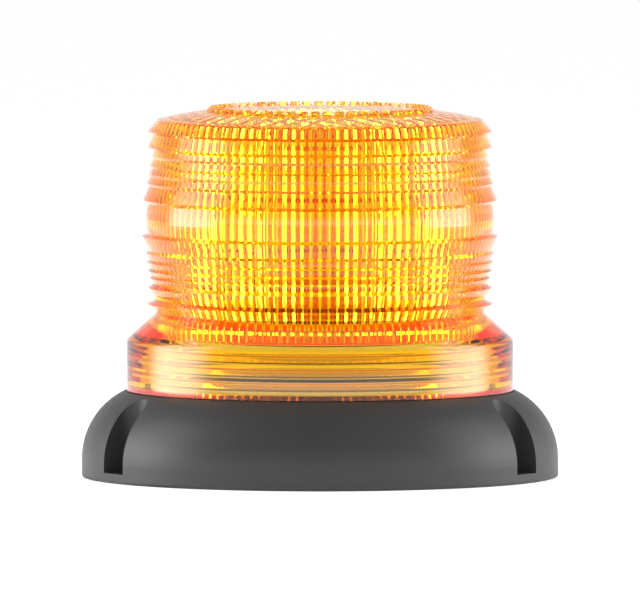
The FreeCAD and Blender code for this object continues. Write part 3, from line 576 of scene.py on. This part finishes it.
def boardFinish(name, mask, track, scale):
    s = boardLook
    material, tree, surface, place = startFinish(name, Roughness=s["roughness"], Coat_Weight=s["coat"])
    tracks = addNode(tree, "ShaderNodeTexBrick", (-500, 0), Scale=scale, Mortar_Size=s["trackWidth"],
                     Color1=shade(mask, 1), Color2=shade(mask, s["tint"]), Mortar=shade(track, 1))
    join(tree, place, "Object", tracks, "Vector")
    join(tree, tracks, "Color", surface, "Base Color")
    addBump(tree, surface, tracks, "Fac", s["strength"], s["relief"], invert=True)
    return material


# Two colours, one below and one above a height, with fine turns such as a winding's.
bandedLook = {"softness": 0.0002, "turns": 900.0, "relief": 0.0002}


def bandedFinish(name, height, below, above, winding=0.0, **extra):
    s = bandedLook
    material, tree, surface, place = startFinish(name, **extra)
    axes = addNode(tree, "ShaderNodeSeparateXYZ", (-600, 0))
    share = addNode(tree, "ShaderNodeMapRange", (-400, 0), From_Min=height - s["softness"],
                    From_Max=height + s["softness"])
    tone = addMix(tree, (-100, 0), A=shade(below, 1), B=shade(above, 1))
    turns = addNode(tree, "ShaderNodeTexWave", (-400, -300), {"bands_direction": "Z"}, Scale=s["turns"])
    join(tree, place, "Object", axes, "Vector")
    join(tree, axes, "Z", share, "Value")
    join(tree, share, "Result", tone, "Factor")
    join(tree, tone, "Result", surface, "Base Color")
    join(tree, place, "Object", turns, "Vector")
    addBump(tree, surface, turns, "Fac", winding, s["relief"])
    return material


# The carrier's white plastic, with painted light in each turn of its thread: a dark line of painted
# shade where the thread's shadow falls, and a warm line of painted red glow. The whole plastic also
# glows faintly, though it is no lamp.
carrierPaintedLines = {
    "roughness": 0.4,
    "mottle": 0.03,
    "pitch": 3.5,
    "darkLine": 1.15,          # height of one dark line; the others follow at the pitch
    "dark": (0.14, 0.11, 0.09),
    "warm": (0.62, 0.24, 0.13),
    "white": (0.9, 0.9, 0.88),
    "stops": {"dark": (0.0, 0.15), "white": (0.24, 0.84), "warm": (0.9, 1.0)},      # of half a turn
    # painted glow: the carrier emits its own line colours at this strength, though it is no lamp
    "glow": 0.3,
}


def carrierPaintedLightFinish(name):
    s = carrierPaintedLines
    halfTurn = s["pitch"] / 2 * mm
    material = mouldedFinish(name, s["white"], s["roughness"], mottle=s["mottle"],
                             Emission_Strength=s["glow"])
    tree = material.node_tree
    surface = next(node for node in tree.nodes if node.type == "BSDF_PRINCIPLED")
    place = addNode(tree, "ShaderNodeTexCoord", (-1400, 500))
    axes = addNode(tree, "ShaderNodeSeparateXYZ", (-1200, 500))
    join(tree, place, "Object", axes, "Vector")
    shift = addMath(tree, (-1000, 500), "SUBTRACT", (axes, "Z"), s["darkLine"] * mm)
    fold = addMath(tree, (-800, 500), "PINGPONG", (shift, "Value"), halfTurn)
    share = addMath(tree, (-600, 500), "DIVIDE", (fold, "Value"), halfTurn)
    lines = addNode(tree, "ShaderNodeValToRGB", (-400, 500))
    join(tree, share, "Value", lines, "Fac")
    stops = [(at, tone) for tone, places in s["stops"].items() for at in places]
    ramp = lines.color_ramp.elements
    for at, tone in stops[1:-1]:
        ramp.new(at)
    for stop, (at, tone) in zip(ramp, stops):
        stop.position = at
        stop.color = (*s[tone], 1)
    # the painted shade and glow lines set both the base colour and the emission colour
    join(tree, lines, "Color", surface, "Base Color")
    join(tree, lines, "Color", surface, "Emission Color")
    return material


def wovenFinish(name, color, roughness, threads, depth, relief):
    material, tree, surface, place = startFinish(name, Base_Color=(*color, 1), Roughness=roughness)
    warp = addNode(tree, "ShaderNodeTexWave", (-500, 100), {"bands_direction": "X"}, Scale=threads)
    weft = addNode(tree, "ShaderNodeTexWave", (-500, -200), {"bands_direction": "Y"}, Scale=threads)
    join(tree, place, "Object", warp, "Vector")
    join(tree, place, "Object", weft, "Vector")
    weave = addMath(tree, (-250, 0), "MULTIPLY", (warp, "Fac"), (weft, "Fac"))
    addBump(tree, surface, weave, "Value", depth, relief)
    return material


# A red ring round the edge of the LED board, which glows though it is no lamp: painted red light that
# shows as a red band through the neck, standing in for the red of long light paths through the lens's
# wall.
boardRing = {
    "inner": 37.05,
    "outer": 38.5,
    "low": 37.4,
    "high": 39.6,
    "steps": 192,
    "sharp": math.radians(30),
    "color": (0.95, 0.1, 0.02),
    "roughness": 0.5,
    "mottle": 0.05,
    "glowColor": (1.0, 0.06, 0.01),
    "glow": 0.8,
}


def buildBoardRing():
    s = boardRing
    corners = [(s["inner"], s["low"]), (s["outer"], s["low"]), (s["outer"], s["high"]),
               (s["inner"], s["high"])]
    # painted red glow: the ring's own red colour and its emission stand in for light
    redGlowFinish = mouldedFinish("paintedRedGlow", s["color"], s["roughness"], mottle=s["mottle"],
                             Emission_Color=(*s["glowColor"], 1), Emission_Strength=s["glow"])
    return linkPiece(turnSection(corners, s["steps"]), "boardRing", "base", redGlowFinish, s["sharp"])


# The other parts' finishes: how each is made, which parts wear it, and what sets it apart.
finishes = {
    "blackShell": (mouldedFinish, ["base_housing"],
                   {"color": (0.04, 0.04, 0.042), "roughness": 0.42, "Specular_IOR_Level": 0.3}),
    "blackCover": (mouldedFinish, ["bottom_cover"],
                   {"color": (0.05, 0.05, 0.052), "roughness": 0.5, "grain": 900.0, "depth": 0.3}),
    "blackRubber": (mouldedFinish, ["cover_gasket", "cable_grommet", "buzzer_seal", "lens_seal"],
                    {"color": (0.025, 0.025, 0.025), "roughness": 0.75, "grain": 1800.0, "depth": 0.3}),
    "whiteCarrier": (carrierPaintedLightFinish, ["led_carrier"], {}),
    "blackEpoxy": (mouldedFinish, ["power_transistor", "control_chip", "buzzer_case"],
                   {"color": (0.03, 0.03, 0.032), "roughness": 0.45, "grain": 2600.0, "depth": 0.35}),
    "greenBlock": (mouldedFinish, ["terminal_block"], {"color": (0.04, 0.28, 0.1), "roughness": 0.35}),
    "silveredCeramic": (mouldedFinish, ["piezo_disc"],
                        {"color": (0.82, 0.82, 0.8), "roughness": 0.3, "mottle": 0.05}),
    "redInsulation": (mouldedFinish, ["led_wires"],
                      {"color": (0.55, 0.04, 0.03), "roughness": 0.4, "mottle": 0.05}),
    "zincPlatedSteel": (turnedMetal, ["cover_screws", "board_screws", "carrier_screws", "tower_screws"],
                        {"color": (0.66, 0.67, 0.68), "roughness": 0.32}),
    "rolledBrass": (turnedMetal, ["buzzer_diaphragm"], {"color": (0.8, 0.6, 0.28), "roughness": 0.25}),
    "extrudedAluminium": (turnedMetal, ["led_tower"], {"color": (0.82, 0.82, 0.83), "roughness": 0.38}),
    "greenBoard": (boardFinish, ["driver_board"],
                   {"mask": (0.02, 0.2, 0.08), "track": (0.05, 0.33, 0.14), "scale": 260.0}),
    "whiteBoard": (boardFinish, ["led_base_board", "tower_boards", "top_board"],
                   {"mask": (0.88, 0.88, 0.86), "track": (0.8, 0.8, 0.76), "scale": 300.0}),
    "soundMesh": (wovenFinish, ["sound_mesh"],
                  {"color": (0.08, 0.08, 0.08), "roughness": 0.8, "threads": 1600.0, "depth": 0.7,
                   "relief": 0.0002}),
    "woundFerrite": (bandedFinish, ["inductor"],
                     {"height": 0.0171, "below": (0.06, 0.06, 0.065), "above": (0.6, 0.25, 0.1),
                      "winding": 0.6, "Roughness": 0.4}),
    "sleevedCans": (bandedFinish, ["capacitors"],
                    {"height": 0.0067, "below": (0.75, 0.75, 0.76), "above": (0.03, 0.04, 0.09),
                     "Roughness": 0.35}),
    "litPhosphor": (mouldedFinish, ["base_leds", "tower_leds", "top_leds"],
                    {"color": (0.95, 0.8, 0.2), "roughness": 0.45, "mottle": 0.06,
                     "Emission_Color": (1.0, 0.82, 0.4, 1), "Emission_Strength": 8.5}),
}


def finishNodes():
    for name, (makeFinish, nodes, settings) in finishes.items():
        finish = makeFinish(name, **settings)
        for node in nodes:
            piece = bpy.data.objects[node]
            piece.data.materials.clear()
            piece.data.materials.append(finish)


print("camera, studio and floor")
makeCamera()
lengthenPaths()
makeWorld()
makeSoftbox(-1, studio["leftPower"])
makeSoftbox(1, studio["rightPower"])
makeFloor()

print("amber lens")
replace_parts(buildLens(makeAmberPlastic()), "amber_lens")

print("ring round the LED board")
buildBoardRing()

print("finishes of the other parts")
finishNodes()

scene.view_settings.view_transform = "Standard"
